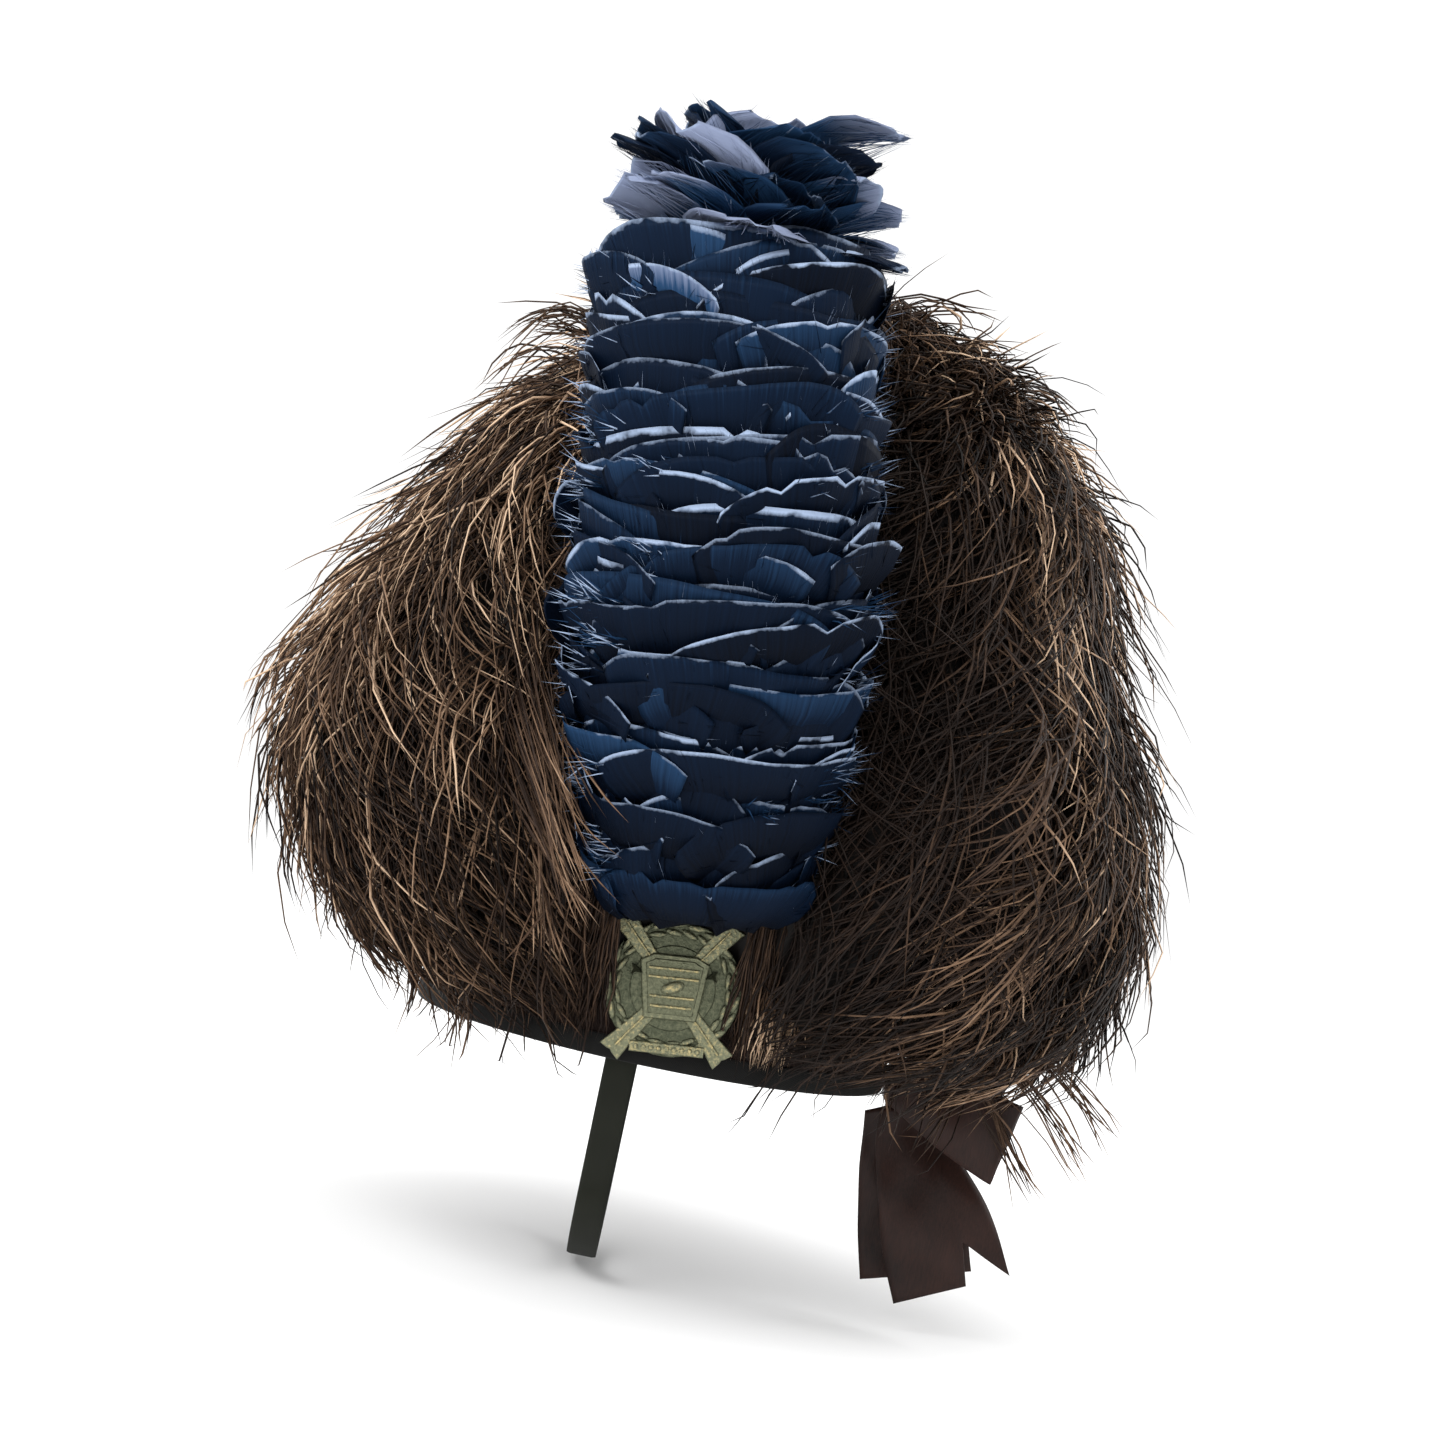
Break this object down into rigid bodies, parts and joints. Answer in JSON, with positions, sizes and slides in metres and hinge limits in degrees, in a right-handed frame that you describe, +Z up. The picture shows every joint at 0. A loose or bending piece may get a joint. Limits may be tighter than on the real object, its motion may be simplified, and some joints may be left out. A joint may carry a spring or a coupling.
{
  "type": "feather bonnet",
  "caption": "Tall cap covered in drooping ostrich plumes, with a broad-feather hackle over a cast badge, a chin strap and a ribbon bow at the back.",
  "frame": {"origin": "middle of the head opening, level with the lower edge of the cap, where a head holds the bonnet", "axes": "+Z up towards the crown; the wearer faces -Y; +X is the wearer's left, where the hackle and badge are"},
  "size_m": [0.3714, 0.3896, 0.5048],
  "materials": {
    "cap": "matt black stiffened cloth",
    "band": "dark brown cloth",
    "binding": "black woven tape",
    "ostrich": "dark brown feather with lighter tips",
    "hackle": "dark blue dyed feather with pale edges",
    "badge": "dull cast brass",
    "strap": "dark woven elastic",
    "ribbon": "dark brown satin"
  },
  "bodies": {
    "root": {"cap_shell": "cap", "head_band": "band", "rim_binding": "binding", "plume_bay": "ostrich", "plume_1": "ostrich", "plume_2": "ostrich", "plume_3": "ostrich", "plume_4": "ostrich", "plume_5": "ostrich", "plume_6": "ostrich", "plume_7": "ostrich", "plume_8": "ostrich", "crown_tuft": "ostrich", "hackle": "hackle", "badge": "badge", "chin_strap": "strap", "ribbon_knot": "ribbon", "ribbon_tail_near": "ribbon", "ribbon_tail_far": "ribbon", "ribbon_loop_left": "ribbon", "ribbon_loop_right": "ribbon"}
  },
  "joints": []
}
